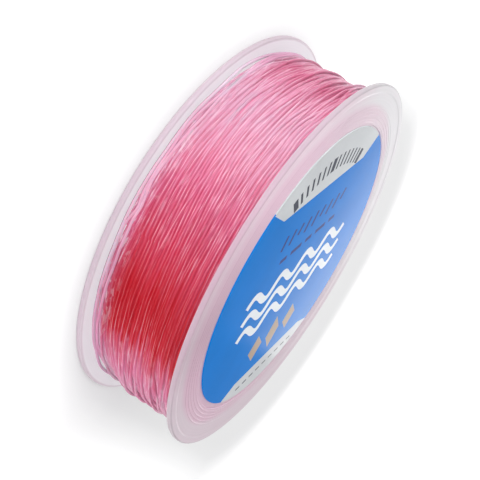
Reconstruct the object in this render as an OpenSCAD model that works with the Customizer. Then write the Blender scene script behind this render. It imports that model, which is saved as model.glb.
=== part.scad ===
// Line spool: two pressed-together plastic halves, a round label and a full
// winding of clear elastic line. The spool axis is +Z, the rear flange's outer
// face rests on z = 0 and the labelled flange is on top.

/* [Spool] */
// Outer diameter of both flanges
flange_d = 70; // [68:1:90]
// Width over both flanges
spool_w = 18.9; // [16:0.1:30]
// Thickness of a flange at its rim
rim_t = 0.95; // [0.9:0.05:1.6]
// Width of the raised lip round the rim
lip_w = 1.5; // [1:0.1:3]
// Height of the raised lip above the flange's outer face
lip_h = 0.08; // [0.06:0.01:0.3]
// Radius of the rounding on the rim's corners
rim_round = 0.25; // [0.1:0.05:0.4]
// Height of the fine rings moulded round the label's place
ring_h = 0.04; // [0.02:0.01:0.05]

/* [Hub] */
// Outer diameter of the drum that the line is wound on
drum_d = 40; // [34:1:50]
// Wall of the drum
drum_wall = 1.4; // [1.2:0.1:2]
// Diameter of the spindle bore
bore_d = 10; // [6:0.5:12]
// Wall of the spindle tube
tube_wall = 1.5; // [1.2:0.1:2]
// Number of ribs between the spindle tube and the drum
rib_count = 6; // [3:1:8]
// Thickness of a rib
rib_t = 1; // [0.8:0.1:1.6]
// Height of the ribs above the flange
rib_h = 11; // [6:0.5:11.5]
// Depth to which the front half's spigot goes into the drum
spigot_depth = 4.5; // [3:0.5:5]
// Wall of the spigot and of the collar round the spindle tube
spigot_wall = 1.2; // [1:0.1:1.6]
// Radial clearance of the press joint, on each side
press_gap = 0.03; // [0.02:0.01:0.1]
// Number of keys that stop the halves turning against each other
key_count = 3; // [2:1:6]
// Width of a key
key_w = 3; // [2:0.5:5]
// Depth of the keys and their notches
key_depth = 1.5; // [1:0.1:2.5]

/* [Label] */
// Diameter of the round label
label_d = 54.6; // [46:0.1:56]
// Thickness of the label
label_t = 0.2; // [0.1:0.05:0.25]
// How far the label is stuck off centre, along X
label_dx = -0.4; // [-0.4:0.05:0.4]
// How far the label is stuck off centre, along Y
label_dy = 0.2; // [-0.4:0.05:0.4]

/* [Line] */
// Diameter of the line
line_d = 0.6; // [0.3:0.05:0.7]
// Diameter of the winding at the middle of its width
winding_d = 65.2; // [50:0.1:66]
// How much smaller the winding's radius is beside the flanges
winding_crown = 0.35; // [0:0.05:1]
// Angle of the rim slit that holds the line's outer end
slit_angle = 78; // [0:1:359]
// Angle of the anchor hole that holds the line's inner end
anchor_angle = 30; // [10:1:50]

/* [Hidden] */

fn_round = 180;
flange_r = flange_d / 2;
drum_r = drum_d / 2;
bore_r = bore_d / 2;
tube_r = bore_r + tube_wall;
label_r = label_d / 2;
recess_r = label_r + 0.6;
winding_r = winding_d / 2;
inner_z = rim_t;                    // inner face of the rear flange
far_z = spool_w - rim_t;            // inner face of the front flange
web_z = lip_h;                      // outer face of the rear flange's web
recess_z = lip_h + label_t;         // floor of the label recess
lip_r = flange_r - lip_w;
ring_rs = [for (k = [0 : 4]) recess_r + 0.6 + k * 0.14 * (lip_r - recess_r - 1)];
ring_w = 0.3;
slit_w = line_d + 0.06;
slit_depth = 3.2;
anchor_z = inner_z + 2.2;
anchor_r = line_d / 2 + 0.15;
knot_r = 0.8;

// quarter-circle points from angle a0 to a1 round [cx, cy]
function arc_pts(cx, cy, r, a0, a1, n = 5) =
    [for (i = [0 : n]) let (a = a0 + (a1 - a0) * i / n) [cx + r * cos(a), cy + r * sin(a)]];

// Half section of a flange lying on z = 0, outer face down: web, label recess,
// lip with rounded corners and a small slope between web and lip
module flange_section() {
    polygon(concat(
        [[bore_r, inner_z], [bore_r, recess_z + 0.3], [bore_r + 0.3, recess_z]],
        [[recess_r, recess_z], [recess_r + 0.08, web_z]],
        [for (r = ring_rs) each [[r - ring_w / 2, web_z], [r - ring_w / 4, web_z - ring_h],
                                 [r + ring_w / 4, web_z - ring_h], [r + ring_w / 2, web_z]]],
        [[lip_r, web_z], [lip_r + 0.3, 0]],
        arc_pts(flange_r - rim_round, rim_round, rim_round, -90, 0),
        arc_pts(flange_r - rim_round, inner_z - rim_round, rim_round, 0, 90)
    ));
}

module flange() {
    rotate_extrude($fn = fn_round) flange_section();
}

// A plain tube standing between two heights
module ring_wall(r_in, r_out, z0, z1) {
    translate([0, 0, z0])
        rotate_extrude($fn = fn_round)
            translate([r_in, 0]) square([r_out - r_in, z1 - z0]);
}

// Blocks spaced evenly round the axis, from radius r0 to r1
module spokes(count, r0, r1, width, z0, z1, turn = 0) {
    for (i = [0 : count - 1])
        rotate([0, 0, turn + i * 360 / count])
            translate([r0, -width / 2, z0]) cube([r1 - r0, width, z1 - z0]);
}

// A tube of round section swept along a list of points
function unit(v) = v / norm(v);
function tangent(p, i) = unit(p[min(i + 1, len(p) - 1)] - p[max(i - 1, 0)]);
function ring_at(p, i, r, sides) =
    let (t = tangent(p, i),
         ref = [cos(slit_angle), sin(slit_angle), 0],
         u = unit(cross(ref, t)), v = cross(t, u))
    [for (k = [0 : sides - 1]) let (a = 360 * k / sides) p[i] + r * (cos(a) * u + sin(a) * v)];
module swept(p, r, sides = 8) {
    n = len(p);
    polyhedron(
        points = [for (i = [0 : n - 1]) each ring_at(p, i, r, sides)],
        faces = concat(
            [[for (k = [0 : sides - 1]) k]],
            [for (i = [0 : n - 2]) for (k = [0 : sides - 1])
                [i * sides + k, (i + 1) * sides + k, (i + 1) * sides + (k + 1) % sides, i * sides + (k + 1) % sides]],
            [[for (k = [sides - 1 : -1 : 0]) (n - 1) * sides + k]]
        ));
}

// Rear half: flange, drum, spindle tube and ribs, with the key notches, the
// anchor hole and the rim slit cut out
module rear_half() {
    color("gainsboro")
    difference() {
        union() {
            flange();
            ring_wall(bore_r, tube_r, inner_z - 0.2, far_z - 0.1);
            ring_wall(drum_r - drum_wall, drum_r, inner_z - 0.2, far_z);
            spokes(rib_count, tube_r - 0.4, drum_r - drum_wall + 0.4, rib_t, inner_z - 0.2, inner_z + rib_h);
        }
        // notches for the front half's keys
        spokes(key_count, drum_r - drum_wall - 1, drum_r + 1, key_w + 2 * press_gap,
               far_z - key_depth - press_gap, far_z + 1, turn = 60);
        // anchor hole for the line's inner end
        rotate([0, 0, anchor_angle])
            translate([drum_r - drum_wall - 1, 0, anchor_z]) rotate([0, 90, 0])
                cylinder(r = anchor_r, h = drum_wall + 2, $fn = 32);
        // slit in the rim for the line's outer end
        rotate([0, 0, slit_angle])
            translate([flange_r - slit_depth, -slit_w / 2, -1]) cube([slit_depth + 1, slit_w, rim_t + 2]);
    }
}

// Front half: the same flange turned over, with the spigot ring, the collar
// round the spindle tube and the keys
module front_half() {
    color("whitesmoke")
    union() {
        translate([0, 0, spool_w]) mirror([0, 0, 1]) flange();
        ring_wall(drum_r - drum_wall - press_gap - spigot_wall, drum_r - drum_wall - press_gap,
                  far_z - spigot_depth, far_z + 0.2);
        ring_wall(tube_r + press_gap, tube_r + press_gap + spigot_wall, far_z - 3.5, far_z + 0.2);
        spokes(key_count, drum_r - drum_wall - 0.4, drum_r - 0.1, key_w,
               far_z - key_depth, far_z + 0.2, turn = 60);
    }
}

// Round label in the front flange's recess
module front_label() {
    color("royalblue")
    translate([label_dx, label_dy, spool_w - recess_z]) cylinder(r = label_r, h = label_t, $fn = fn_round);
}

// The wound line as one closed body, slightly crowned across its width
module line_winding() {
    gap = 0.05;
    w = (far_z - inner_z) - 2 * gap;
    mid = (far_z + inner_z) / 2;
    steps = 12;
    color("hotpink")
    rotate_extrude($fn = fn_round)
        polygon(concat(
            [[drum_r + gap, mid + w / 2], [drum_r + gap, mid - w / 2]],
            [for (i = [0 : steps]) let (s = -1 + 2 * i / steps)
                [winding_r - winding_crown * pow(abs(s), 4), mid + s * w / 2]]
        ));
}

// The line's inner end: through the drum's anchor hole, stopped by a knot
module line_start() {
    color("deeppink")
    rotate([0, 0, anchor_angle]) translate([0, 0, anchor_z]) {
        rotate([0, 90, 0]) translate([0, 0, drum_r - drum_wall - 1.6])
            cylinder(r = line_d / 2, h = drum_wall + 1.6, $fn = 24);
        translate([drum_r - drum_wall - knot_r / 2 - 0.15, 0, 0]) rotate([0, 90, 0])
            rotate_extrude($fn = 36) translate([knot_r / 2 + 0.05, 0]) circle(r = knot_r / 2, $fn = 24);
    }
}

// The line's outer end: off the last turn, over to the rear flange and into
// its rim slit. Each row is [angle before the slit, radius, height].
tail_route = [
    [24, winding_r + 0.33, 6.4], [20, winding_r + 0.35, 6.1], [16, winding_r + 0.4, 5.6],
    [12.5, winding_r + 0.5, 4.95], [9.5, winding_r + 0.6, 4.3], [7, winding_r + 0.7, 3.65],
    [4.8, winding_r + 0.8, 3.05], [3.1, winding_r + 0.86, 2.55], [1.7, winding_r + 0.9, 2.1],
    [0.7, winding_r + 0.92, 1.7], [0.15, winding_r + 0.93, 1.35], [0, winding_r + 0.93, 1.1],
    [0, winding_r + 0.93, 0.6], [0, winding_r + 0.93, 0.12]
];
tail_pts = [for (q = tail_route)
    [q[1] * cos(slit_angle - q[0]), q[1] * sin(slit_angle - q[0]), q[2]]];
module line_tail() {
    color("deeppink") swept(tail_pts, line_d / 2, 8);
}

rear_half();
front_half();
front_label();
line_winding();
line_start();
line_tail();
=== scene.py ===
import math

import bpy
import numpy as np
from mathutils import Matrix, Vector
from mathutils.geometry import delaunay_2d_cdt


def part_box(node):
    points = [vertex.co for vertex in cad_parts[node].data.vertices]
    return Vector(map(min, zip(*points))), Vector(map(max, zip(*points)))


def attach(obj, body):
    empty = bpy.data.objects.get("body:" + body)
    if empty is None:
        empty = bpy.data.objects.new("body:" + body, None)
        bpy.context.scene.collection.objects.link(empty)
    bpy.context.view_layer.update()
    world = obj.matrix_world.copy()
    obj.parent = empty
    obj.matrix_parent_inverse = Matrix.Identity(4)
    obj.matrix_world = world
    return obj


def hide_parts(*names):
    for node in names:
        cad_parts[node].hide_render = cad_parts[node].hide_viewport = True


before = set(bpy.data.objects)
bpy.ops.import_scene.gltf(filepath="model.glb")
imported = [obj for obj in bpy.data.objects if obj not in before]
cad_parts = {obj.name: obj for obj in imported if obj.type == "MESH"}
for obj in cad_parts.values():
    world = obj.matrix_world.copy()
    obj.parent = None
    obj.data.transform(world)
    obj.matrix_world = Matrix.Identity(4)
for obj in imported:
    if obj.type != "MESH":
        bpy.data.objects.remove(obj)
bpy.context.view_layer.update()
MM = 0.001

# ------------------------------------------------------------------ sizes
_lo, _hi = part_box("rear_half")
FLANGE_R = _hi.x / MM
REAR_TOP = _hi.z / MM                         # inner face of the front flange
SPOOL_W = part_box("front_half")[1].z / MM
RIM_T = SPOOL_W - REAR_TOP
LABEL_LO, LABEL_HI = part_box("front_label")
LABEL_R = (LABEL_HI.x - LABEL_LO.x) / 2 / MM
LABEL_C = ((LABEL_HI.x + LABEL_LO.x) / 2 / MM, (LABEL_HI.y + LABEL_LO.y) / 2 / MM)
WIND_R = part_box("line_winding")[1].x / MM
LINE_R = 0.247                                # the 0.6 mm line, thinner because it is wound stretched

# ------------------------------------------------------------------ camera
cam_data = bpy.data.cameras.new("camera")
cam_data.sensor_width = 36.0
cam_data.lens = 881.33 / 480.0 * 36.0
cam_data.clip_start = 0.01
cam_data.clip_end = 20.0
cam = bpy.data.objects.new("camera", cam_data)
right = Vector((-0.51595681, 0.27005643, 0.81293179))
up = Vector((-0.85660821, -0.15899327, -0.49085998))
back = Vector((-0.00330921, -0.94962659, 0.31336622))
m = Matrix.Identity(4)
for i in range(3):
    m[i][0], m[i][1], m[i][2] = right[i], up[i], back[i]
m.translation = Vector((0.0, -0.14818950, 0.05614512))
cam.matrix_world = m
bpy.context.scene.collection.objects.link(cam)
bpy.context.scene.camera = cam


# ------------------------------------------------------------------ node helpers
def material(name):
    mat = bpy.data.materials.new(name)
    mat.use_nodes = True
    nt = mat.node_tree
    nt.nodes.clear()
    out = nt.nodes.new("ShaderNodeOutputMaterial")
    bsdf = nt.nodes.new("ShaderNodeBsdfPrincipled")
    nt.links.new(bsdf.outputs[0], out.inputs[0])
    return mat, nt, bsdf, out


def node(nt, kind, inputs=None, **props):
    n = nt.nodes.new(kind)
    for k, v in props.items():
        setattr(n, k, v)
    for k, v in (inputs or {}).items():
        if isinstance(v, bpy.types.NodeSocket):
            nt.links.new(v, n.inputs[k])
        else:
            n.inputs[k].default_value = v
    return n


def math_node(nt, op, a, b=None, c=None, clamp=False):
    n = nt.nodes.new("ShaderNodeMath")
    n.operation = op
    n.use_clamp = clamp
    for i, v in enumerate((a, b, c)):
        if v is None:
            continue
        if isinstance(v, bpy.types.NodeSocket):
            nt.links.new(v, n.inputs[i])
        else:
            n.inputs[i].default_value = v
    return n.outputs[0]


def ramp(nt, fac, stops, interpolation="LINEAR"):
    n = nt.nodes.new("ShaderNodeValToRGB")
    n.color_ramp.interpolation = interpolation
    el = n.color_ramp.elements
    while len(el) < len(stops):
        el.new(0.5)
    for e, (p, c) in zip(el, stops):
        e.position = p
        e.color = (*c, 1.0) if len(c) == 3 else c
    nt.links.new(fac, n.inputs[0])
    return n.outputs[0]


def mix_rgb(nt, fac, a, b, blend="MIX"):
    n = nt.nodes.new("ShaderNodeMix")
    n.data_type = "RGBA"
    n.blend_type = blend
    for k, v in ((0, fac), (6, a), (7, b)):
        if isinstance(v, bpy.types.NodeSocket):
            nt.links.new(v, n.inputs[k])
        else:
            n.inputs[k].default_value = (*v, 1.0) if isinstance(v, tuple) and len(v) == 3 else v
    return n.outputs[2]


def mesh_object(name, verts, faces, smooth=True, mats=(), mat_index=None):
    me = bpy.data.meshes.new(name)
    me.from_pydata([tuple(v) for v in verts], [], faces)
    me.validate()
    if smooth:
        me.polygons.foreach_set("use_smooth", [True] * len(me.polygons))
    for mt in mats:
        me.materials.append(mt)
    if mat_index is not None:
        me.polygons.foreach_set("material_index", mat_index)
    me.update()
    ob = bpy.data.objects.new(name, me)
    bpy.context.scene.collection.objects.link(ob)
    return ob


# ------------------------------------------------------------------ the winding
def smooth_periodic(a, sigma):
    """Gaussian smoothing of a periodic row, sigma in samples."""
    n = len(a)
    f = np.fft.rfftfreq(n)
    return np.fft.irfft(np.fft.rfft(a) * np.exp(-2 * (math.pi * f * sigma) ** 2), n)


def noise_rows(rng, n, rows, sigma_t, sigma_r):
    """Periodic noise along each row (sigma_t samples) that also carries on from row to row (sigma_r rows)."""
    a = rng.standard_normal((rows, n))
    f = np.fft.rfftfreq(n)
    a = np.fft.irfft(np.fft.rfft(a, axis=1) * np.exp(-2 * (math.pi * f * sigma_t) ** 2), n, axis=1)
    if sigma_r > 0:
        k = np.arange(-int(3 * sigma_r) - 1, int(3 * sigma_r) + 2)
        w = np.exp(-0.5 * (k / sigma_r) ** 2)
        w /= w.sum()
        pad = len(k) // 2
        b = np.pad(a, ((pad, pad), (0, 0)), mode="reflect")
        a = sum(w[i] * b[i:i + rows] for i in range(len(k)))
    return a / a.std()


N = 720                                       # samples in a turn
THETA = np.arange(N) * 2 * math.pi / N
Z_LO, Z_HI = RIM_T + 0.02, SPOOL_W - RIM_T - 0.02
DZ = 0.05
NZ = int(round((Z_HI - Z_LO) / DZ)) + 1


class Bed:
    """The height of what is already wound, over angle and width."""

    def __init__(self, r, rng):
        self.H = np.full((N, NZ), r) + 0.05 * noise_rows(rng, N, NZ, 30, 6).T
        self.idx = np.arange(N)
        self.offs = np.arange(-int(LINE_R / DZ) - 1, int(LINE_R / DZ) + 2)

    def near(self, z):
        base = np.rint((z - Z_LO) / DZ).astype(int)
        for o in self.offs:
            j = base + o
            d = Z_LO + j * DZ - z
            ok = (j >= 0) & (j < NZ) & (np.abs(d) < LINE_R)
            yield np.clip(j, 0, NZ - 1), ok, np.sqrt(np.maximum(LINE_R ** 2 - d * d, 0))

    def rest(self, z):
        """Radius at which a line lying at z rests on what is there."""
        best = np.full(N, -1e9)
        for j, ok, cap in self.near(z):
            best = np.where(ok, np.maximum(best, self.H[self.idx, j] + cap), best)
        return best

    def lay(self, z, r):
        for j, ok, cap in self.near(z):
            self.H[self.idx, j] = np.where(ok, np.maximum(self.H[self.idx, j], r + cap), self.H[self.idx, j])


def bridge(c):
    """A taut line spans the hollows under it."""
    arc = WIND_R * THETA[1]
    for k in (2, 4, 8, 12, 6, 3):
        chord = (np.roll(c, k) + np.roll(c, -k)) / 2 - (k * arc) ** 2 / (2 * WIND_R)
        c = np.where(chord > c, c * 0.5 + 0.5 * chord, c)
    return smooth_periodic(c, 1.4)


def wind_line():
    """Lays the outer turns of the line one on another: centrelines as [turns, samples, (r, z)]."""
    rng = np.random.default_rng(11)
    z_min, z_max = Z_LO + LINE_R, Z_HI - LINE_R
    width = z_max - z_min
    per_layer = width / PITCH
    bed = Bed(START_R, rng)
    regular = int(LAYERS * per_layer)
    total = regular + len(LAST_TURNS)
    shared = noise_rows(rng, N, total, 24, 4.0)       # waves that neighbours share
    broad = noise_rows(rng, N, total, 60, 9.0)
    own = noise_rows(rng, N, total, 8, 0.45)          # each turn's own wander
    stray = noise_rows(rng, N, total, 16, 0.35)       # slow enough to cross over the neighbours
    fine = noise_rows(rng, N, total, 3.0, 0.3)
    curl = noise_rows(rng, N, total, 5.0, 0.0)        # of the slack turns beside the rear flange

    def bump(centre, spread):
        away = (THETA - math.radians(centre) + math.pi) % (2 * math.pi) - math.pi
        return np.exp(-0.5 * (away / math.radians(spread)) ** 2)

    # two stretches of the circumference are wound less neatly than the rest
    rough = 0.06 + 0.52 * bump(-130, 19) + 0.36 * bump(-16, 15)
    # the last layer runs at a slight slant here and there
    slope = 0.11 * bump(-92, 9) - 0.05 * bump(-38, 8) - 0.05 * bump(-135, 12)
    slant = np.cumsum(slope - slope.mean()) * THETA[1] * WIND_R
    slant -= slant.mean()
    slack_r = smooth_periodic(np.interp(np.degrees((THETA + math.pi) % (2 * math.pi)) - 180, *np.array(SLACK_TURN).T), 5)
    paths = []
    z_end = r_end = None

    def slide(z, reach, gain, most, smooth):
        lo_z, hi_z = np.clip(z - reach, z_min, z_max), np.clip(z + reach, z_min, z_max)
        g = (bed.rest(hi_z) - bed.rest(lo_z)) / (hi_z - lo_z)
        return np.clip(z + smooth_periodic(np.clip(-gain * g, -most, most), smooth), z_min, z_max)

    z_before = None
    for t in range(total):
        s = np.minimum((t + THETA / (2 * math.pi)) / per_layer, LAYERS)
        layer = np.floor(s)
        frac = s - layer
        tri = np.where(layer % 2 == 0, frac, 1 - frac)
        z = z_min + 0.25 + tri * (width - 0.5) + 0.10 * s * (1 - tri)
        if t >= regular:
            z0, z1, slack, sideways, lift = LAST_TURNS[t - regular]
            z = z0 + (z1 - z0) * THETA / (2 * math.pi)
        z = z + rough * 0.12 * shared[t] + 0.03 * broad[t]
        if regular - per_layer < t < regular:
            z = z + slant * np.exp(-((z - 6.5) / 4.5) ** 2)
        if z_before is not None and t < regular:
            # lies against the turn before it, and only slowly comes back to where the guide is
            away_from = np.where(layer % 2 == 0, 1.0, -1.0)
            beside = z_before + away_from * 2 * LINE_R
            z = z + FOLLOW * (beside - z)
        z = z + rough * (0.09 * own[t] + (0.90 if t % 5 == 0 else 0.30) * stray[t] * (t > regular - 1.4 * per_layer))
        z = np.clip(z, z_min, z_max)
        z = slide(z, 0.9, 0.12, 0.12, 16)
        for _ in range(3):
            z = slide(z, 0.1, 0.04, 0.04, 8)
        z = z + 0.008 * fine[t]
        if t >= regular:
            here = bump(-72, 22)
            z = z + 0.22 * slack * here * curl[t] + sum(d * bump(c, w) for c, w, d in sideways)
        if z_end is not None:
            z = z + (z_end - z[0]) * np.exp(-THETA / 0.25)
        z = np.clip(z, z_min, z_max)
        c = bridge(bed.rest(z))
        if t > regular - 4 * per_layer:
            # the stretched line beds itself into the turns below
            j = int(np.clip((z.mean() - Z_LO) / DZ - 16, 0, NZ - 33))
            level = smooth_periodic(bed.H[:, j:j + 33].mean(1), 8) + 0.22
            c = c - PRESS * np.maximum(c - level, 0) - 0.5 * PRESS * np.clip(c - level, -0.3, 0)
        if t >= regular:
            c = c + slack * here * (0.10 + 0.08 * stray[t]) + sum(d * bump(c0, w) for c0, w, d in lift)
        if t == total - 1:
            c = np.maximum(c, slack_r)
        if r_end is not None:
            c = c + (r_end - c[0]) * np.exp(-THETA / 0.12)
        bed.lay(z, c)
        z_end, r_end = 2 * z[-1] - z[-2], 2 * c[-1] - c[-2]
        z_before = z
        paths.append(np.stack([c, z], -1))
    # from the last whole turn to where the tail starts
    k = int(TAIL_ANGLE / 360 * N)
    w = np.linspace(0, 1, k + 1)
    w = w * w * (3 - 2 * w)
    z = z_end + (TAIL_Z - z_end) * w
    zfull = np.full(N, TAIL_Z)
    zfull[:k + 1] = z
    rest = smooth_periodic(bridge(bed.rest(zfull)), 3)[:k + 1]
    lead = np.stack([rest + (r_end - rest[0]) * (1 - w) ** 4 + (TAIL_R - rest[-1]) * w, z], -1)
    return np.array(paths), lead, bed, per_layer


FOLLOW = 0.82
PRESS = 0.62
PITCH = 0.497                                 # from one turn to the next
LAYERS = 7
# The last turns cross over the rest, lie slack beside the rear flange, and lead to the tail. For each:
# height at its start and end, slackness, bends sideways and outwards as (angle, spread, size).
LAST_TURNS = [
    (17.4, 12.6, 0.0, [], []),
    (12.6, 7.0, 0.0, [], []),
    (7.0, 2.6, 0.0, [], []),
    (2.6, 1.9, 0.6, [(-83, 2.2, 0.35), (-60, 7, 0.4)], [(-80, 12, 0.12)]),
    (1.9, 1.35, 0.8, [(-95, 6, 0.3), (-83, 2.4, 0.7), (-62, 4, 0.3)], [(-75, 18, 0.1)]),
    (1.35, 1.25, 0.0, [], []),
]
# how far out the very last turn lies, by angle
SLACK_TURN = [(-180, 32.1), (-160, 32.25), (-150, 32.4), (-140, 32.8), (-131, 33.1), (-122, 32.75), (-110, 33.2), (-102, 32.6), (-90, 32.95),
              (-80, 32.9), (-70, 32.4), (-62, 32.2), (-54, 32.3), (-47, 31.9), (-40, 31.45), (-30, 32.0), (-20, 32.5), (0, 32.4), (180, 32.1)]
TAIL_ANGLE, TAIL_Z, TAIL_R = 54.0, 6.4, WIND_R + 0.33     # where the tail leaves the winding
START_R = 28.62
PATHS, LEAD, BED, PER_LAYER = wind_line()
print("winding: turns", len(PATHS), "per layer", PER_LAYER, "surface mean", BED.H.mean(), "max", BED.H.max(), "min", BED.H.min(), "top of line", PATHS[:, :, 0].max() + LINE_R)


def tube(name, P, out, radius, sides=8, mats=()):
    """A tube of round section along the points P; out is roughly square to the path. Millimetres."""
    tang = np.gradient(P, axis=0)
    tang /= np.linalg.norm(tang, axis=1, keepdims=True)
    side = np.cross(tang, out)
    side /= np.linalg.norm(side, axis=1, keepdims=True)
    nrm = np.cross(side, tang)
    a = np.arange(sides) * 2 * math.pi / sides
    ring = P[:, None, :] + radius * (np.cos(a)[None, :, None] * nrm[:, None, :] + np.sin(a)[None, :, None] * side[:, None, :])
    V = ring.reshape(-1, 3) * MM
    n = len(P)
    i = np.arange(n - 1)[:, None] * sides
    k = np.arange(sides)[None, :]
    k2 = (k + 1) % sides
    F = np.stack([i + k, i + k2, i + sides + k2, i + sides + k], -1).reshape(-1, 4)
    me = bpy.data.meshes.new(name)
    me.vertices.add(len(V))
    me.vertices.foreach_set("co", V.astype(np.float32).ravel())
    loops = np.concatenate([F.ravel(), np.arange(sides)[::-1], (n - 1) * sides + np.arange(sides)])
    me.loops.add(len(loops))
    me.loops.foreach_set("vertex_index", loops.astype(np.int32))
    starts = np.concatenate([np.arange(len(F)) * 4, [len(F) * 4, len(F) * 4 + sides]])
    me.polygons.add(len(starts))
    me.polygons.foreach_set("loop_start", starts.astype(np.int32))
    me.polygons.foreach_set("use_smooth", [True] * len(starts))
    me.update(calc_edges=True)
    me.validate()
    for mt in mats:
        me.materials.append(mt)
    ob = bpy.data.objects.new(name, me)
    bpy.context.scene.collection.objects.link(ob)
    return ob


def turns_tube(name, rows, ahead, sides=8, step=2, mats=()):
    """One continuous tube through the given turns of the winding, and a little way ahead."""
    T = rows.shape[0]
    r = np.append(rows[:, ::step, 0].ravel(), ahead[:, 0])
    z = np.append(rows[:, ::step, 1].ravel(), ahead[:, 1])
    ang = np.append(np.tile(THETA[::step], T), THETA[:len(ahead)])
    P = np.stack([r * np.cos(ang), r * np.sin(ang), z], -1)
    out = np.stack([np.cos(ang), np.sin(ang), np.zeros_like(ang)], -1)
    return tube(name, P, out, LINE_R, sides, mats)


# ------------------------------------------------------------------ materials
def line_material(name, depth):
    """Clear pink line. depth 0 is the outer turns, which let light through; 1 is the mass of turns below;
    2 is a slack turn; 3 is the last turn, with air all round it, nearly colourless.
    Tightly laid turns read as one deep red body; loosely laid ones, with air between them, read paler. Part of the
    paleness and the deep red by angle round the winding is painted light and shade, where the lamps fall on the turns
    and where they don't."""
    mat, nt, b, out = material(name)
    tc = node(nt, "ShaderNodeTexCoord")
    sep = node(nt, "ShaderNodeSeparateXYZ", {"Vector": tc.outputs["Object"]})
    theta = math_node(nt, "ARCTAN2", sep.outputs[1], sep.outputs[0])
    cos_t, sin_t = math_node(nt, "COSINE", theta), math_node(nt, "SINE", theta)
    # patches that follow the run of the line
    cyl = node(nt, "ShaderNodeCombineXYZ", {"X": cos_t, "Y": sin_t, "Z": math_node(nt, "MULTIPLY", sep.outputs[2], 260.0)})
    blot = node(nt, "ShaderNodeTexNoise", {"Vector": cyl.outputs[0], "Scale": 2.2, "Detail": 4.0, "Roughness": 0.6})
    blotc = math_node(nt, "SUBTRACT", blot.outputs["Fac"], 0.5)
    # each strand has its own start and end of a patch
    strand = node(nt, "ShaderNodeCombineXYZ", {"X": cos_t, "Y": sin_t, "Z": math_node(nt, "MULTIPLY", sep.outputs[2], 2600.0)})
    own = node(nt, "ShaderNodeTexNoise", {"Vector": strand.outputs[0], "Scale": 1.0, "Detail": 1.0, "Roughness": 0.5})
    ownc = math_node(nt, "SUBTRACT", own.outputs["Fac"], 0.5)
    turn = math_node(nt, "MULTIPLY_ADD", theta, 1 / (2 * math.pi), 0.5)
    turn = math_node(nt, "ADD", turn, math_node(nt, "ADD", math_node(nt, "MULTIPLY", blotc, 0.05), math_node(nt, "MULTIPLY", ownc, 0.055)))
    deg = lambda d: (d + 180) / 360
    grey = lambda v: (v, v, v)
    # paleness by angle round the winding: partly how loosely the turns lie, partly painted light where the lamps fall
    # on them and painted shade where they don't
    looseness_and_painted_light = ramp(nt, turn, [(0.0, grey(0.6)), (deg(-158), grey(0.72)), (deg(-147), grey(0.50)), (deg(-122), grey(1.0)), (deg(-106), grey(0.82)), (deg(-94), grey(0.48)),
                            (deg(-70), grey(0.08)), (deg(-63), grey(0.0)), (deg(-49), grey(0.0)), (deg(-43), grey(0.29)), (deg(-25), grey(0.60)),
                            (deg(0), grey(0.75)), (deg(70), grey(0.4)), (deg(125), grey(0.8)), (1.0, grey(0.6))])
    far = node(nt, "ShaderNodeMapRange", {"Value": sep.outputs[2], "From Min": 0.0012, "From Max": 0.0046, "To Min": 0.52, "To Max": 0.0}, interpolation_type="SMOOTHSTEP")
    near = node(nt, "ShaderNodeMapRange", {"Value": sep.outputs[2], "From Min": 0.013, "From Max": 0.0175, "To Min": 0.0, "To Max": 0.06}, interpolation_type="SMOOTHSTEP")
    # painted light and shade beside the front flange: paler at the top end, a little deeper just below it
    edge = node(nt, "ShaderNodeMapRange", {"Value": sep.outputs[2], "From Min": 0.011, "From Max": 0.0158, "To Max": 0.52}, interpolation_type="SMOOTHSTEP")
    at_end = ramp(nt, turn, [(0.0, grey(0.22)), (deg(-167), grey(1.0)), (deg(-158), grey(1.0)), (deg(-150), grey(0.30)), (deg(-143), grey(0.0)), (deg(-128), grey(0.0)), (deg(-118), grey(0.22)), (1.0, grey(0.22))])
    looseness_and_painted_light = math_node(nt, "ADD", looseness_and_painted_light, math_node(nt, "MULTIPLY", math_node(nt, "SUBTRACT", at_end, 0.22), edge.outputs[0]))
    looseness_and_painted_light = math_node(nt, "ADD", math_node(nt, "ADD", looseness_and_painted_light, far.outputs[0]), math_node(nt, "ADD", near.outputs[0], math_node(nt, "MULTIPLY", blotc, 0.22)), clamp=True)
    # painted light and shade: how light or dark each stretch round the winding is made, by angle
    shade = ramp(nt, turn, [(0.0, grey(0.80)), (deg(-159), grey(0.72)), (deg(-152), grey(0.645)), (deg(-130), grey(0.83)), (deg(-108), grey(0.845)), (deg(-88), grey(0.785)), (deg(-72), grey(0.82)),
                            (deg(-58), grey(0.76)), (deg(-45), grey(0.88)), (deg(-33), grey(0.965)), (deg(-15), grey(0.965)), (deg(40), grey(0.98)), (deg(120), grey(0.86)), (1.0, grey(0.80))])
    # the tube's own roundness shows less where the turns lie tight together
    round_f = ramp(nt, turn, [(0.0, grey(0.15)), (deg(-160), grey(0.15)), (deg(-145), grey(0.16)), (deg(-125), grey(0.24)), (deg(-98), grey(0.64)), (deg(-80), grey(0.64)), (deg(-70), grey(0.26)), (deg(-57), grey(0.20)), (deg(-48), grey(0.24)), (deg(-25), grey(0.18)), (1.0, grey(0.12))])
    flat = node(nt, "ShaderNodeVectorMath", {0: tc.outputs["Object"], 1: (1.0, 1.0, 0.0)}, operation="MULTIPLY")
    rad = node(nt, "ShaderNodeVectorMath", {0: flat.outputs[0]}, operation="NORMALIZE")
    blend = node(nt, "ShaderNodeMix", data_type="VECTOR")
    nt.links.new(round_f, blend.inputs[0])
    nt.links.new(rad.outputs[0], blend.inputs[4])
    nt.links.new(tc.outputs["Normal"], blend.inputs[5])
    world = node(nt, "ShaderNodeVectorTransform", {0: blend.outputs[1]}, vector_type="NORMAL", convert_from="OBJECT", convert_to="WORLD")
    nrm = node(nt, "ShaderNodeVectorMath", {0: world.outputs[0]}, operation="NORMALIZE")
    nt.links.new(nrm.outputs[0], b.inputs["Normal"])
    if depth >= 2:
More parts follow.
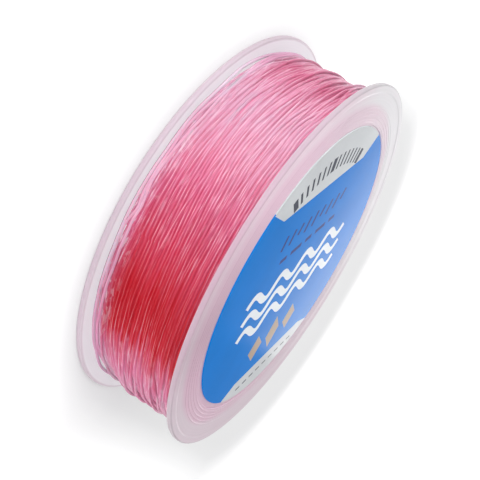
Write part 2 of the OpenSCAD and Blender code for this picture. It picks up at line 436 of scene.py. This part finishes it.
        # pale where it lies clear of the rest, with painted shade as a dark contour on the side towards the flange
        nz = node(nt, "ShaderNodeSeparateXYZ", {"Vector": tc.outputs["Normal"]})
        rim = node(nt, "ShaderNodeMapRange", {"Value": nz.outputs[2], "From Min": -0.15, "From Max": -0.55}, interpolation_type="SMOOTHSTEP")
        fill = ((0.90, 0.36, 0.53), (1.0, 0.53, 0.70)) if depth == 2 else ((0.95, 0.50, 0.66), (1.0, 0.68, 0.825))
        col = ramp(nt, blot.outputs["Fac"], [(0.35, fill[0]), (0.65, fill[1])])
        # painted light and shade: lighter and darker by angle round the winding
        col = mix_rgb(nt, 1.0, col, ramp(nt, turn, [(0.0, (0.80, 0.80, 0.85)), (deg(-156), (0.74, 0.77, 0.81)), (deg(-148), (0.62, 0.58, 0.64)), (deg(-138), (0.72, 0.72, 0.76)), (deg(-126), (0.80, 0.94, 0.91)), (deg(-64), (0.80, 0.92, 0.90)), (deg(-40), (1.0, 0.68, 0.80)), (deg(-20), (1.0, 0.68, 0.83)), (deg(20), (0.98, 0.76, 0.88)), (1.0, (0.95, 0.80, 0.88))]), "MULTIPLY")
        contour_shade_by_angle = ramp(nt, turn, [(0.0, grey(0.2)), (deg(-140), grey(0.3)), (deg(-115), grey(0.9)), (deg(-60), grey(0.9)), (deg(-42), grey(0.35)), (deg(-25), grey(0.0)), (1.0, grey(0.0))])
        contour_shade_colour = (0.42, 0.18, 0.26) if depth == 2 else (0.20, 0.07, 0.11)
        col = mix_rgb(nt, math_node(nt, "MULTIPLY", rim.outputs[0], contour_shade_by_angle), col, contour_shade_colour)
        b.inputs["Roughness"].default_value = 0.18
        b.inputs["IOR"].default_value = 1.24
        sheen = ramp(nt, turn, [(0.0, grey(0.4)), (deg(-60), grey(0.5)), (deg(-42), grey(0.2)), (deg(0), grey(0.1)), (1.0, grey(0.4))])
        nt.links.new(sheen, b.inputs["Specular IOR Level"])
        b.inputs["Subsurface Weight"].default_value = 0.7
    elif depth == 0:
        col = ramp(nt, looseness_and_painted_light, [(0.0, (0.72, 0.024, 0.046)), (0.5, (0.83, 0.212, 0.376)), (1.0, (0.885, 0.475, 0.64))])
        col = mix_rgb(nt, 1.0, col, shade, "MULTIPLY")
        # painted shade: the turns beside the front flange are made a little darker, for the light the flange keeps from
        # them
        beyond = node(nt, "ShaderNodeMapRange", {"Value": sep.outputs[2], "From Min": 0.009, "From Max": 0.013, "To Min": 1.0, "To Max": 0.93}, interpolation_type="SMOOTHSTEP")
        col = mix_rgb(nt, 1.0, col, beyond.outputs[0], "MULTIPLY")
        # painted shade: a round clear line is made deeper in colour towards its sides
        dot = node(nt, "ShaderNodeVectorMath", {0: rad.outputs[0], 1: tc.outputs["Normal"]}, operation="DOT_PRODUCT")
        side = node(nt, "ShaderNodeMapRange", {"Value": dot.outputs["Value"], "From Min": 0.60, "From Max": 0.95, "To Min": 1.0, "To Max": 0.0}, interpolation_type="SMOOTHSTEP")
        side_shade_by_angle = ramp(nt, turn, [(0.0, grey(0.16)), (deg(-150), grey(0.12)), (deg(-125), grey(0.08)), (deg(-100), grey(0.32)), (deg(-82), grey(0.44)), (deg(-70), grey(0.14)), (deg(-60), grey(0.10)), (deg(-45), grey(0.08)), (deg(-25), grey(0.04)), (1.0, grey(0.16))])
        col = mix_rgb(nt, math_node(nt, "MULTIPLY", side.outputs[0], side_shade_by_angle), col, mix_rgb(nt, 1.0, col, (0.90, 0.52, 0.58), "MULTIPLY"))
        # painted shade: darkest of all down between the turns
        deep = node(nt, "ShaderNodeMapRange", {"Value": dot.outputs["Value"], "From Min": 0.08, "From Max": 0.62, "To Min": 0.36, "To Max": 0.0}, interpolation_type="SMOOTHSTEP")
        between_turns_shade_by_angle = ramp(nt, turn, [(0.0, grey(0.3)), (deg(-150), grey(0.3)), (deg(-134), grey(1.0)), (deg(-48), grey(1.0)), (deg(-37), grey(0.15)), (deg(0), grey(0.15)), (deg(60), grey(0.8)), (deg(150), grey(0.8)), (1.0, grey(0.3))])
        col = mix_rgb(nt, math_node(nt, "MULTIPLY", deep.outputs[0], between_turns_shade_by_angle), col, mix_rgb(nt, 1.0, col, (1.0, 0.40, 0.48), "MULTIPLY"))
        # short streaks, light and dark, follow the turns that cross underneath; the light streaks are painted
        # highlights and the dark ones painted shade
        lean = math_node(nt, "MULTIPLY", math_node(nt, "SINE", math_node(nt, "MULTIPLY", theta, 3.0)), 0.0011)
        zl = math_node(nt, "MULTIPLY", math_node(nt, "ADD", sep.outputs[2], lean), 2500.0)
        under = node(nt, "ShaderNodeCombineXYZ", {"X": math_node(nt, "MULTIPLY", cos_t, 8.0), "Y": math_node(nt, "MULTIPLY", sin_t, 8.0), "Z": zl})
        streak = node(nt, "ShaderNodeTexNoise", {"Vector": under.outputs[0], "Scale": 1.0, "Detail": 2.0, "Roughness": 0.55})
        loosely = ramp(nt, turn, [(0.0, grey(0.5)), (deg(-150), grey(0.42)), (deg(-125), grey(0.56)), (deg(-98), grey(0.74)), (deg(-85), grey(0.45)), (deg(-72), grey(0.10)), (deg(-57), grey(0.04)), (deg(-48), grey(0.10)), (deg(-43), grey(0.6)), (deg(-25), grey(0.8)), (1.0, grey(0.6))])
        light = node(nt, "ShaderNodeMapRange", {"Value": streak.outputs["Fac"], "From Min": 0.54, "From Max": 0.68, "To Max": 0.50}, interpolation_type="SMOOTHSTEP")
        dark = node(nt, "ShaderNodeMapRange", {"Value": streak.outputs["Fac"], "From Min": 0.46, "From Max": 0.33, "To Max": 0.55}, interpolation_type="SMOOTHSTEP")
        col = mix_rgb(nt, math_node(nt, "MULTIPLY", light.outputs[0], loosely), col, (0.93, 0.58, 0.70))
        col = mix_rgb(nt, math_node(nt, "MULTIPLY", dark.outputs[0], loosely), col, mix_rgb(nt, 1.0, col, (0.88, 0.54, 0.61), "MULTIPLY"))
        # beside the rear flange slack turns cross at a slant: pale wisps, with painted shade in the gaps between them
        slant = math_node(nt, "MULTIPLY", math_node(nt, "SINE", math_node(nt, "MULTIPLY", theta, 9.0)), 0.0008)
        zs = math_node(nt, "MULTIPLY", math_node(nt, "ADD", sep.outputs[2], slant), 2300.0)
        curls = node(nt, "ShaderNodeCombineXYZ", {"X": math_node(nt, "MULTIPLY", cos_t, 11.0), "Y": math_node(nt, "MULTIPLY", sin_t, 11.0), "Z": zs})
        wisp = node(nt, "ShaderNodeTexNoise", {"Vector": curls.outputs[0], "Scale": 1.0, "Detail": 3.0, "Roughness": 0.6})
        beside = node(nt, "ShaderNodeMapRange", {"Value": sep.outputs[2], "From Min": 0.0020, "From Max": 0.0052, "To Min": 1.0, "To Max": 0.0}, interpolation_type="SMOOTHSTEP")
        slackly = ramp(nt, turn, [(0.0, grey(0.3)), (deg(-150), grey(0.3)), (deg(-118), grey(0.5)), (deg(-88), grey(0.9)), (deg(-58), grey(0.85)), (deg(-50), grey(0.62)), (deg(-38), grey(0.3)), (1.0, grey(0.3))])
        slackly = math_node(nt, "MULTIPLY", beside.outputs[0], slackly)
        pale = node(nt, "ShaderNodeMapRange", {"Value": wisp.outputs["Fac"], "From Min": 0.53, "From Max": 0.63, "To Max": 0.78}, interpolation_type="SMOOTHSTEP")
        wisp_gap_shade = node(nt, "ShaderNodeMapRange", {"Value": wisp.outputs["Fac"], "From Min": 0.47, "From Max": 0.37, "To Max": 0.70}, interpolation_type="SMOOTHSTEP")
        col = mix_rgb(nt, math_node(nt, "MULTIPLY", pale.outputs[0], slackly), col, (0.95, 0.74, 0.82))
        col = mix_rgb(nt, math_node(nt, "MULTIPLY", wisp_gap_shade.outputs[0], slackly), col, mix_rgb(nt, 1.0, col, (0.80, 0.40, 0.50), "MULTIPLY"))
        # painted highlight: a fine pale line along the crest of each clear round line, where light would gather
        crest_highlight = node(nt, "ShaderNodeMapRange", {"Value": dot.outputs["Value"], "From Min": 0.966, "From Max": 0.994}, interpolation_type="SMOOTHSTEP")
        run = node(nt, "ShaderNodeCombineXYZ", {"X": math_node(nt, "MULTIPLY", cos_t, 7.0), "Y": math_node(nt, "MULTIPLY", sin_t, 7.0), "Z": math_node(nt, "MULTIPLY", sep.outputs[2], 2100.0)})
        dash = node(nt, "ShaderNodeTexNoise", {"Vector": run.outputs[0], "Scale": 1.0, "Detail": 3.0, "Roughness": 0.6})
        dashf = node(nt, "ShaderNodeMapRange", {"Value": dash.outputs["Fac"], "From Min": 0.44, "From Max": 0.62, "To Min": 0.10, "To Max": 1.0})
        clear = ramp(nt, turn, [(0.0, grey(0.35)), (deg(-150), grey(0.40)), (deg(-125), grey(0.50)), (deg(-104), grey(0.58)), (deg(-85), grey(0.58)), (deg(-72), grey(0.16)), (deg(-60), grey(0.12)), (deg(-50), grey(0.34)), (deg(-42), grey(0.50)), (deg(-28), grey(0.40)), (1.0, grey(0.30))])
        crest_highlight_f = math_node(nt, "MULTIPLY", math_node(nt, "MULTIPLY", crest_highlight.outputs[0], dashf.outputs[0]), clear)
        col = mix_rgb(nt, crest_highlight_f, col, (0.99, 0.74, 0.83))
        b.inputs["Roughness"].default_value = 0.25
        b.inputs["IOR"].default_value = 1.15
        b.inputs["Transmission Weight"].default_value = 0.30
        sheen = ramp(nt, turn, [(0.0, grey(0.35)), (deg(-158), grey(0.15)), (deg(-140), grey(0.30)), (deg(-120), grey(0.5)), (deg(-50), grey(0.5)), (deg(-36), grey(0.12)), (deg(0), grey(0.12)), (deg(60), grey(0.4)), (1.0, grey(0.35))])
        nt.links.new(sheen, b.inputs["Specular IOR Level"])
        b.inputs["Subsurface Weight"].default_value = 0.9
    else:
        col = ramp(nt, looseness_and_painted_light, [(0.0, (0.70, 0.030, 0.040)), (0.5, (0.78, 0.11, 0.20)), (1.0, (0.88, 0.32, 0.50))])
        col = mix_rgb(nt, 1.0, col, shade, "MULTIPLY")
        b.inputs["Roughness"].default_value = 0.3
        b.inputs["IOR"].default_value = 1.12
        b.inputs["Subsurface Weight"].default_value = 0.6
    # loosely laid turns pass more of every colour on to their dim sides
    spread = ramp(nt, turn, [(0.0, (0.75, 0.60, 0.64)), (deg(-135), (0.62, 0.48, 0.52)), (deg(-100), (0.5, 0.24, 0.27)), (deg(-50), (0.5, 0.18, 0.20)), (deg(-38), (1.0, 0.90, 0.93)), (deg(0), (1.0, 0.90, 0.93)), (deg(60), (0.5, 0.40, 0.43)), (1.0, (0.75, 0.60, 0.64))])
    nt.links.new(spread, b.inputs["Subsurface Radius"])
    b.inputs["Subsurface Scale"].default_value = 0.001
    nt.links.new(col, b.inputs["Base Color"])
    return mat


def plastic_material(name, plain, tinted, shift, fade, within, beyond, shade, rim, rim_from=0.990, rim_tint=(1.0, 1.0, 1.0)):
    """Frosted, slightly lilac plastic with the wound line showing through it. plain and tinted are the colours without
    and with the line behind; within and beyond say how much of it shows by angle, on either side of the winding's edge
    (fade);
    shift moves that edge, because the line lies some way behind the surface. shade and rim are painted light and shade:
    the lightness of the faces and of the outer edge by angle, standing in for how the lamps fall on them."""
    mat, nt, b, out = material(name)
    deg = lambda stops: [((a + 180) / 360, (v, v, v)) for a, v in stops]
    tc = node(nt, "ShaderNodeTexCoord")
    sep = node(nt, "ShaderNodeSeparateXYZ", {"Vector": tc.outputs["Object"]})

    def radius(dy):
        y = math_node(nt, "ADD", sep.outputs[1], dy)
        return math_node(nt, "SQRT", math_node(nt, "ADD", math_node(nt, "MULTIPLY", sep.outputs[0], sep.outputs[0]), math_node(nt, "MULTIPLY", y, y)))

    r = radius(0.0)
    wob = node(nt, "ShaderNodeTexNoise", {"Vector": tc.outputs["Object"], "Scale": 60.0, "Detail": 2.0})
    wobc = math_node(nt, "MULTIPLY", math_node(nt, "SUBTRACT", wob.outputs["Fac"], 0.5), 0.015)
    turn = math_node(nt, "ADD", math_node(nt, "MULTIPLY_ADD", math_node(nt, "ARCTAN2", sep.outputs[1], sep.outputs[0]), 1 / (2 * math.pi), 0.5), wobc)
    rr = math_node(nt, "ADD", math_node(nt, "MULTIPLY", radius(shift), 1 / (FLANGE_R * MM)), wobc)
    f = node(nt, "ShaderNodeMapRange", {"Value": rr, "From Min": fade[0], "From Max": fade[1]}, interpolation_type="SMOOTHSTEP")
    t = mix_rgb(nt, f.outputs[0], ramp(nt, turn, deg(within)), ramp(nt, turn, deg(beyond)))
    col = mix_rgb(nt, t, plain, tinted)
    edge = node(nt, "ShaderNodeMapRange", {"Value": math_node(nt, "MULTIPLY", r, 1 / (FLANGE_R * MM)), "From Min": rim_from, "From Max": 0.998}, interpolation_type="SMOOTHSTEP")
    rims = [(p, tuple(c * k for c, k in zip(v, rim_tint))) for p, v in deg(rim)]
    col = mix_rgb(nt, 1.0, col, mix_rgb(nt, edge.outputs[0], ramp(nt, turn, deg(shade)), ramp(nt, turn, rims)), "MULTIPLY")
    rings = node(nt, "ShaderNodeTexNoise", {"W": math_node(nt, "MULTIPLY", r, 2600.0), "Scale": 1.0, "Detail": 2.0}, noise_dimensions="1D")
    ringf = math_node(nt, "MULTIPLY", math_node(nt, "SUBTRACT", rings.outputs["Fac"], 0.5), 0.10)
    hsv = node(nt, "ShaderNodeHueSaturation", {"Color": col, "Value": math_node(nt, "ADD", 1.0, ringf)})
    nt.links.new(hsv.outputs[0], b.inputs["Base Color"])
    fine = node(nt, "ShaderNodeTexNoise", {"Vector": tc.outputs["Object"], "Scale": 2500.0, "Detail": 2.0})
    bump = node(nt, "ShaderNodeBump", {"Height": fine.outputs["Fac"], "Distance": 0.00002, "Strength": 0.3})
    nt.links.new(bump.outputs[0], b.inputs["Normal"])
    b.inputs["Roughness"].default_value = 0.42
    b.inputs["IOR"].default_value = 1.38
    b.inputs["Subsurface Weight"].default_value = 0.35
    b.inputs["Subsurface Radius"].default_value = (1.0, 0.8, 0.9)
    b.inputs["Subsurface Scale"].default_value = 0.0012
    return mat


def print_material(name, colour, rough=0.14, vary=0.05):
    """Ink on a laminated paper label."""
    mat, nt, b, out = material(name)
    tc = node(nt, "ShaderNodeTexCoord")
    n1 = node(nt, "ShaderNodeTexNoise", {"Vector": tc.outputs["Object"], "Scale": 120.0, "Detail": 4.0})
    lo_c = tuple(c * (1 - vary) for c in colour)
    hi_c = tuple(min(1.0, c * (1 + vary)) for c in colour)
    col = ramp(nt, n1.outputs["Fac"], [(0.3, lo_c), (0.7, hi_c)])
    nt.links.new(col, b.inputs["Base Color"])
    grain = node(nt, "ShaderNodeTexNoise", {"Vector": tc.outputs["Object"], "Scale": 1400.0, "Detail": 3.0})
    bump = node(nt, "ShaderNodeBump", {"Height": grain.outputs["Fac"], "Distance": 0.00002, "Strength": 0.12})
    nt.links.new(bump.outputs[0], b.inputs["Normal"])
    b.inputs["Roughness"].default_value = rough
    b.inputs["IOR"].default_value = 1.07
    return mat


LINE_OUT = line_material("clear_pink_line", 0)
LINE_IN = line_material("pink_line_below", 1)
LINE_SLACK = line_material("slack_pink_line", 2)
LINE_LAST = line_material("last_pink_turn", 3)
PLASTIC = plastic_material(
    "frosted_plastic", (0.715, 0.71, 0.73), (0.715, 0.457, 0.585), 0.0022, (0.855, 0.90),
    [(-180, 0.50), (-150, 0.65), (-110, 0.90), (-40, 1.0), (0, 0.90), (50, 0.60), (110, 0.38), (180, 0.50)],
    [(-180, 0.02), (-158, 0.08), (-135, 0.52), (-90, 0.78), (-60, 0.72), (-25, 0.42), (60, 0.53), (85, 0.45), (110, 0.12), (180, 0.02)],
    [(-180, 0.92), (-140, 0.88), (-115, 0.98), (-100, 0.94), (-82, 0.79), (-60, 0.69), (-40, 0.83), (-10, 0.87), (40, 0.82), (65, 0.81), (90, 0.85), (125, 0.98), (160, 0.95), (180, 0.92)],
    [(-180, 0.56), (-150, 0.57), (-130, 0.69), (-100, 0.76), (-60, 0.73), (-40, 0.74), (-20, 0.60), (60, 0.55), (120, 0.66), (180, 0.56)])
# the rear flange is given a lighter plain colour: painted light, standing in for the light that comes through the
# frosted plastic onto its inner face
PLASTIC_REAR = plastic_material(
    "frosted_plastic_rear", (0.96, 0.91, 0.96), (0.86, 0.65, 0.75), 0.0, (0.80, 0.93),
    [(-180, 1.0), (180, 1.0)], [(-180, 0.05), (180, 0.05)],
    [(-180, 0.84), (-140, 0.88), (-105, 1.0), (-65, 1.0), (-40, 0.98), (0, 0.93), (180, 0.84)],
    [(-180, 0.60), (-150, 0.57), (-120, 0.69), (-80, 0.70), (-40, 0.78), (-20, 0.73), (0, 0.68), (180, 0.60)], 0.981, (1.0, 0.88, 0.935))
INK = {
    "blue": print_material("label_blue", (0.002, 0.190, 0.626)),
    "white": print_material("label_white", (0.78, 0.82, 0.86)),
    "grey": print_material("label_grey", (0.60, 0.62, 0.64)),
    "tan": print_material("label_tan", (0.46, 0.36, 0.28)),
    "navy": print_material("label_navy", (0.03, 0.06, 0.22)),
    "dark": print_material("label_dark", (0.07, 0.075, 0.10)),
}

# ------------------------------------------------------------------ pieces
count = len(PATHS)
per = int(round(PER_LAYER))
# the last turn with the lead to the tail, the two slack turns before it, then the rest, outermost first
parts = [("line_last_turn", 1, LINE_LAST), ("line_slack_turns", 2, LINE_SLACK)]
parts += [("line_turns_%d" % k, per, LINE_OUT if k < 3 else LINE_IN) for k in range(1, 6)]
end = count
for name, size, mat in parts:
    ahead = PATHS[end][:2] if end < count else LEAD
    fine = mat is not LINE_IN
    ob = turns_tube(name, PATHS[end - size:end], ahead, sides=8 if fine else 6, step=2 if fine else 3, mats=[mat])
    end -= size
    ob.visible_shadow = False                  # clear line: light reaches the turns below
    ob.visible_diffuse = False                 # and comes back out of them evenly
    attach(ob, "root")

# the tail: off the winding, over to the rear flange and into its slit. (angle before the slit, radius, height)
SLIT = 78.0
route = [(24, 0.33, 6.4), (20, 0.35, 6.1), (16, 0.4, 5.6), (12.5, 0.5, 4.95), (9.5, 0.6, 4.3), (7, 0.7, 3.65), (4.8, 0.8, 3.05),
         (3.1, 0.86, 2.55), (1.7, 0.9, 2.1), (0.7, 0.92, 1.7), (0.15, 0.93, 1.35), (0, 0.93, 1.1), (0, 0.93, 0.6), (0, 0.93, 0.14)]
pts = np.array([((WIND_R + h) * math.cos(math.radians(SLIT - a)), (WIND_R + h) * math.sin(math.radians(SLIT - a)), z) for a, h, z in route])
knots = np.concatenate([[0], np.cumsum(np.linalg.norm(np.diff(pts, axis=0), axis=1))])
at = np.linspace(0, knots[-1], 140)
curve = np.stack([np.interp(at, knots, pts[:, i]) for i in range(3)], -1)
for _ in range(12):
    curve[1:-1] = (curve[:-2] + 2 * curve[1:-1] + curve[2:]) / 4
out = np.tile([math.cos(math.radians(SLIT)), math.sin(math.radians(SLIT)), 0.0], (len(curve), 1))
tail = tube("line_tail_end", curve, out, LINE_R, 12, [LINE_SLACK])
tail.visible_shadow = False
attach(tail, "root")
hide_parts("line_tail")

core_r = PATHS[end:end + per, :, 0].min() - 0.1
nseg = 180
prof = [(20.05, RIM_T + 0.05), (core_r, RIM_T + 0.05), (core_r, SPOOL_W - RIM_T - 0.05), (20.05, SPOOL_W - RIM_T - 0.05)]
verts = [(r * math.cos(2 * math.pi * i / nseg) * MM, r * math.sin(2 * math.pi * i / nseg) * MM, z * MM) for i in range(nseg) for r, z in prof]
faces = [(i * 4 + j, ((i + 1) % nseg) * 4 + j, ((i + 1) % nseg) * 4 + (j + 1) % 4, i * 4 + (j + 1) % 4) for i in range(nseg) for j in range(4)]
core = mesh_object("line_inner_turns", verts, faces, smooth=False, mats=[LINE_IN])
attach(core, "root")
core.visible_diffuse = False
core.visible_shadow = False
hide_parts("line_winding")

for n in ("rear_half", "front_half"):
    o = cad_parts[n]
    o.data.materials.clear()
    o.data.materials.append(PLASTIC if n == "front_half" else PLASTIC_REAR)
    o.data.polygons.foreach_set("use_smooth", [True] * len(o.data.polygons))
    o.data.set_sharp_from_angle(angle=math.radians(28))
# the frosted plastic passes light on to what is behind it
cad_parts["front_half"].visible_diffuse = False
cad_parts["line_start"].data.materials.clear()
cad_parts["line_start"].data.materials.append(LINE_OUT)

# the label: flat shapes of ink side by side on its face
E1, E2 = (0.636, -0.772), (0.772, 0.636)
INK_R = LABEL_R - 0.034


def circle_pts(r, n, u=0.0, v=0.0):
    return [(u + r * math.cos(2 * math.pi * i / n), v + r * math.sin(2 * math.pi * i / n)) for i in range(n)]


def arc_between(r, a0, a1, n):
    return [(r * math.cos(a0 + (a1 - a0) * i / n), r * math.sin(a0 + (a1 - a0) * i / n)) for i in range(n + 1)]


def stroke(points, width):
    """Outline of a ribbon of even width along a line."""
    left, right = [], []
    for i, (u, v) in enumerate(points):
        u0, v0 = points[max(i - 1, 0)]
        u1, v1 = points[min(i + 1, len(points) - 1)]
        d = math.hypot(u1 - u0, v1 - v0)
        nu, nv = -(v1 - v0) / d * width / 2, (u1 - u0) / d * width / 2
        left.append((u + nu, v + nv))
        right.append((u - nu, v - nv))
    return left + right[::-1]


def panel(v_mid, v_edge, u_mid):
    """Light panel along one side of the label: a straight edge with a short slope at each end."""
    s = 1 if v_edge > 0 else -1
    a0 = math.acos(math.sqrt(max(INK_R ** 2 - v_edge ** 2, 0)) / INK_R)
    arc = arc_between(INK_R, a0, math.pi - a0, 48)
    pts = [(u, s * v) for u, v in arc]
    return pts + [(-u_mid, v_mid), (u_mid, v_mid)]


shapes = []                                    # (ink, outline), later ones lie over earlier ones
shapes.append(("blue", circle_pts(LABEL_R - 0.03, 180)))
shapes.append(("grey", panel(-17.6, -20.7, 13.6)))
shapes.append(("grey", panel(20.9, 22.5, 11.5)))
for v0 in (-1.2, 2.6, 6.4):
    wave = [(-17.0 + 34 * i / 120, v0 + 1.5 * math.sin(2 * math.pi * (-17.0 + 34 * i / 120) / 8.5)) for i in range(121)]
    shapes.append(("white", stroke(wave, 1.5)))
for u0, v0, h in ((7.5, 14.6, 6.4), (1.5, 14.6, 8.0), (-4.5, 14.6, 6.4)):
    shapes.append(("tan", [(u0 - 2.3, v0), (u0, v0 - h / 2), (u0 + 2.3, v0), (u0, v0 + h / 2)]))
for i in range(9):
    u = -10.5 + i * 2.5
    shapes.append(("navy", stroke([(u, -12.6), (u + 1.1, -9.8 if i % 3 else -10.6)], 0.75)))
u = -9.5
for length in (2.2, 3.6, 2.2, 3.6, 2.2):
    shapes.append(("navy", stroke([(u, -6.9), (u + length, -6.9)], 0.9)))
    u += length + 1.3
for i in range(15):
    a = math.radians(-90 + (i - 7) * 4.2)
    shapes.append(("dark", stroke([(20.6 * math.cos(a), 20.6 * math.sin(a)), (23.4 * math.cos(a), 23.4 * math.sin(a))], 0.6 if i % 7 else 1.3)))
for i in range(9):
    shapes.append(("dark", stroke([(-9.6 + i * 2.3, 23.6), (-8.2 + i * 2.3, 23.6)], 0.42)))


def inside(q, pts):
    """Whether q lies within the outline."""
    odd = False
    for (u0, v0), (u1, v1) in zip(pts, pts[1:] + pts[:1]):
        if (v0 > q[1]) != (v1 > q[1]) and q[0] < u0 + (u1 - u0) * (q[1] - v0) / (v1 - v0):
            odd = not odd
    return odd


def label_mesh():
    verts, faces = [], []
    for ink, pts in shapes:
        base = len(verts)
        verts += [Vector(p) for p in pts]
        order = list(range(base, base + len(pts)))
        turn = sum(p[0] * q[1] - q[0] * p[1] for p, q in zip(pts, pts[1:] + pts[:1]))
        faces.append(order if turn > 0 else order[::-1])
    v, e, f, ov, oe, of = delaunay_2d_cdt(verts, [], faces, 1, 1e-5)
    names = list(INK)
    top = LABEL_HI.z / MM
    low = LABEL_LO.z / MM
    co = [(LABEL_C[0] + p[0] * E1[0] + p[1] * E2[0], LABEL_C[1] + p[0] * E1[1] + p[1] * E2[1], top) for p in v]
    tris, mats = [], []
    for tri, src in zip(f, of):
        if not src:
            continue
        tris.append(tuple(tri))
        mats.append(names.index(shapes[max(src)][0]))
    # rim with a small bevel, and the back
    ring = [i for i in range(len(v)) if abs(v[i].length - (LABEL_R - 0.03)) < 1e-3]
    ring.sort(key=lambda i: math.atan2(v[i].y, v[i].x))
    n = len(ring)
    for rr, zz in ((LABEL_R, top - 0.03), (LABEL_R, low)):
        for i in ring:
            q = v[i].normalized() * rr
            co.append((LABEL_C[0] + q.x * E1[0] + q.y * E2[0], LABEL_C[1] + q.x * E1[1] + q.y * E2[1], zz))
    a, b2 = len(v), len(v) + n
    for i in range(n):
        j = (i + 1) % n
        tris.append((ring[i], a + i, a + j, ring[j]))
        tris.append((a + i, b2 + i, b2 + j, a + j))
        mid = (v[ring[i]] + v[ring[j]]) / 2 * ((INK_R - 0.3) / LABEL_R)
        mats += [names.index("grey" if any(inside(mid, pts) for ink, pts in shapes[1:3]) else "blue")] * 2
    tris.append(tuple(b2 + i for i in range(n)))
    mats.append(names.index("white"))
    ob = mesh_object("label_face", [(x * MM, y * MM, z * MM) for x, y, z in co], tris, smooth=False, mats=[INK[k] for k in names], mat_index=mats)
    return ob


label = label_mesh()
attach(label, "root")
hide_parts("front_label")

# ------------------------------------------------------------------ floor, world and lights
floor_mat, nt, b, out = material("floor")
b.inputs["Base Color"].default_value = (0.84, 0.84, 0.845, 1)
b.inputs["Roughness"].default_value = 0.8
b.inputs["Specular IOR Level"].default_value = 0.1
tc = node(nt, "ShaderNodeTexCoord")
dist = node(nt, "ShaderNodeVectorMath", {0: tc.outputs["Object"]}, operation="LENGTH")
# painted shadow: the lit sweep's glow is turned down round the spool, and most of all behind it, where the key light's
# shadow would fall
sep = node(nt, "ShaderNodeSeparateXYZ", {"Vector": tc.outputs["Object"]})
back_y = math_node(nt, "MINIMUM", math_node(nt, "MAXIMUM", sep.outputs[1], 0.0), 0.1)
off_y = math_node(nt, "SUBTRACT", sep.outputs[1], back_y)
reach = math_node(nt, "SQRT", math_node(nt, "ADD", math_node(nt, "MULTIPLY", sep.outputs[0], sep.outputs[0]), math_node(nt, "MULTIPLY", off_y, off_y)))
reach = math_node(nt, "SUBTRACT", reach, math_node(nt, "MULTIPLY", back_y, 0.14))
reach = math_node(nt, "SUBTRACT", reach, math_node(nt, "MULTIPLY", math_node(nt, "MAXIMUM", sep.outputs[0], 0.0), math_node(nt, "MULTIPLY", back_y, 1.25)))
lit = lambda d, stops: ramp(nt, math_node(nt, "MULTIPLY", d, 10.0), [(q / 100, (v, v, v)) for q, v in stops])
front = lit(dist.outputs["Value"], [(35, 0.14), (40, 0.36), (46, 0.50), (60, 0.58), (100, 0.60)])
behind = lit(reach, [(34, 0.0), (38, 0.03), (43, 0.16), (49, 0.34), (56, 0.50), (90, 0.56)])
along = node(nt, "ShaderNodeVectorMath", {0: tc.outputs["Object"], 1: (0.55, 0.83, 0.0)}, operation="DOT_PRODUCT")
part = node(nt, "ShaderNodeMapRange", {"Value": along.outputs["Value"], "From Min": -0.010, "From Max": 0.030}, interpolation_type="SMOOTHSTEP")
glow_with_painted_shadow = node(nt, "ShaderNodeMix", {0: part.outputs[0], 2: front, 3: behind})
nt.links.new(glow_with_painted_shadow.outputs[0], b.inputs["Emission Strength"])
b.inputs["Emission Color"].default_value = (1, 1, 1, 1)
prof = [(-2.0, 0.0), (1.2, 0.0)]
for i in range(1, 13):
    a = math.radians(50) * i / 12
    prof.append((1.2 + 1.2 * math.sin(a), 1.2 * (1 - math.cos(a))))
verts = [(x, y, z) for y, z in prof for x in (-3.0, 3.0)]
faces = [(2 * i, 2 * i + 1, 2 * i + 3, 2 * i + 2) for i in range(len(prof) - 1)]
floor = mesh_object("floor", verts, faces, mats=[floor_mat])
# an even white surround, seen past the floor's edge from low down; it throws no light on the object
surround_mat, nt, b, out = material("surround")
b.inputs["Base Color"].default_value = (0, 0, 0, 1)
b.inputs["Specular IOR Level"].default_value = 0.0
b.inputs["Emission Color"].default_value = (1, 1, 1, 1)
b.inputs["Emission Strength"].default_value = 1.0
prof = [(4.0, -0.5), (4.0, 3.0), (0.02, 4.0)]
verts = [(r * math.cos(2 * math.pi * i / 48), r * math.sin(2 * math.pi * i / 48), z) for i in range(48) for r, z in prof]
faces = [(i * 3 + j, ((i + 1) % 48) * 3 + j, ((i + 1) % 48) * 3 + j + 1, i * 3 + j + 1) for i in range(48) for j in range(2)]
surround = mesh_object("surround", verts, faces, mats=[surround_mat])
for ray in ("diffuse", "glossy", "transmission", "volume_scatter", "shadow"):
    setattr(surround, "visible_" + ray, False)

world = bpy.data.worlds.new("world")
bpy.context.scene.world = world
world.use_nodes = True
world.node_tree.nodes["Background"].inputs[0].default_value = (1, 1, 1, 1)
world.node_tree.nodes["Background"].inputs[1].default_value = 0.40


def area(name, azimuth, elevation, distance, size, power, colour=(1, 1, 1), size_y=None):
    d = bpy.data.lights.new(name, "AREA")
    d.energy = power
    d.color = colour
    d.shape = "RECTANGLE"
    d.size = size
    d.size_y = size_y or size
    o = bpy.data.objects.new(name, d)
    az, el = math.radians(azimuth), math.radians(elevation)
    pos = Vector((math.cos(az) * math.cos(el), math.sin(az) * math.cos(el), math.sin(el))) * distance
    o.location = pos + Vector((0, 0, 0.01))
    o.rotation_mode = "QUATERNION"
    o.rotation_quaternion = (-pos).to_track_quat("-Z", "Y")
    bpy.context.scene.collection.objects.link(o)
    return o


sun = bpy.data.lights.new("overhead", "SUN")
sun.energy = 0.95
sun.angle = math.radians(100)
sun_ob = bpy.data.objects.new("overhead", sun)
sun_ob.rotation_euler = (math.radians(-8), math.radians(-10), 0)
bpy.context.scene.collection.objects.link(sun_ob)

area("key", -118, 16, 0.6, 0.45, 1.9, size_y=0.4)
area("side", 175, 22, 0.5, 0.3, 0.3)
area("low", 12, 11, 0.6, 0.25, 0.6)
sheen = area("sheen", 98, 7.4, 0.9, 0.46, 0.86, size_y=0.21)
sheen.visible_camera = False
back = area("background", 90, 33, 2.2, 3.0, 9.0, size_y=2.0)
back.rotation_quaternion = (1, 0, 0, 0)

sc = bpy.context.scene
sc.view_settings.view_transform = "Standard"
sc.view_settings.look = "None"
